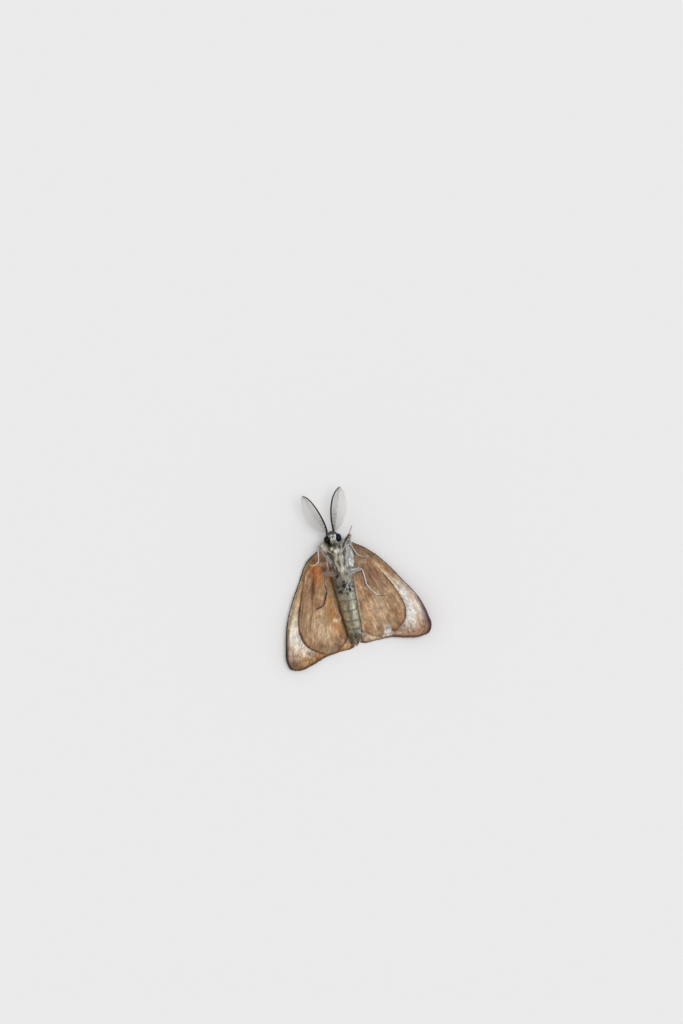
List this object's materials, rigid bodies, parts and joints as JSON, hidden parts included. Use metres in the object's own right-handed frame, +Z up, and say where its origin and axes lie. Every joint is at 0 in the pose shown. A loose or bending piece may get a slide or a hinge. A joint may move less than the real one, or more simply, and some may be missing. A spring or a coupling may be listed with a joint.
{
  "type": "moth",
  "caption": "Life-size male spongy moth lying on its back, belly up, with half-spread brown wings, combed feelers and bent legs.",
  "frame": {"origin": "on the floor, under the middle of the moth's length and span", "axes": "+Y towards the head along the body, +X towards the moth's left, +Z up, which is towards its belly"},
  "size_m": [0.0216, 0.0252, 0.007],
  "materials": {
    "belly_fur": "long soft grey-white hair",
    "abdomen_fur": "short grey-olive scales with dark spots",
    "face_fur": "short grey hair",
    "eye": "glossy black, finely faceted",
    "feeler": "dark shaft with pale fine teeth",
    "forewing": "matte brown and cream scales",
    "hindwing": "matte orange-brown scales",
    "leg": "pale scales over a smooth shell"
  },
  "bodies": {
    "root": {"head": "face_fur", "eye_left": "eye", "eye_right": "eye", "antenna_left": "feeler", "antenna_right": "feeler", "thorax": "belly_fur", "abdomen": "abdomen_fur", "forewing_left": "forewing", "forewing_right": "forewing", "hindwing_left": "hindwing", "hindwing_right": "hindwing", "leg_fore_left": "leg", "leg_fore_right": "leg", "leg_mid_left": "leg", "leg_mid_right": "leg", "leg_hind_left": "leg", "leg_hind_right": "leg"}
  },
  "joints": []
}
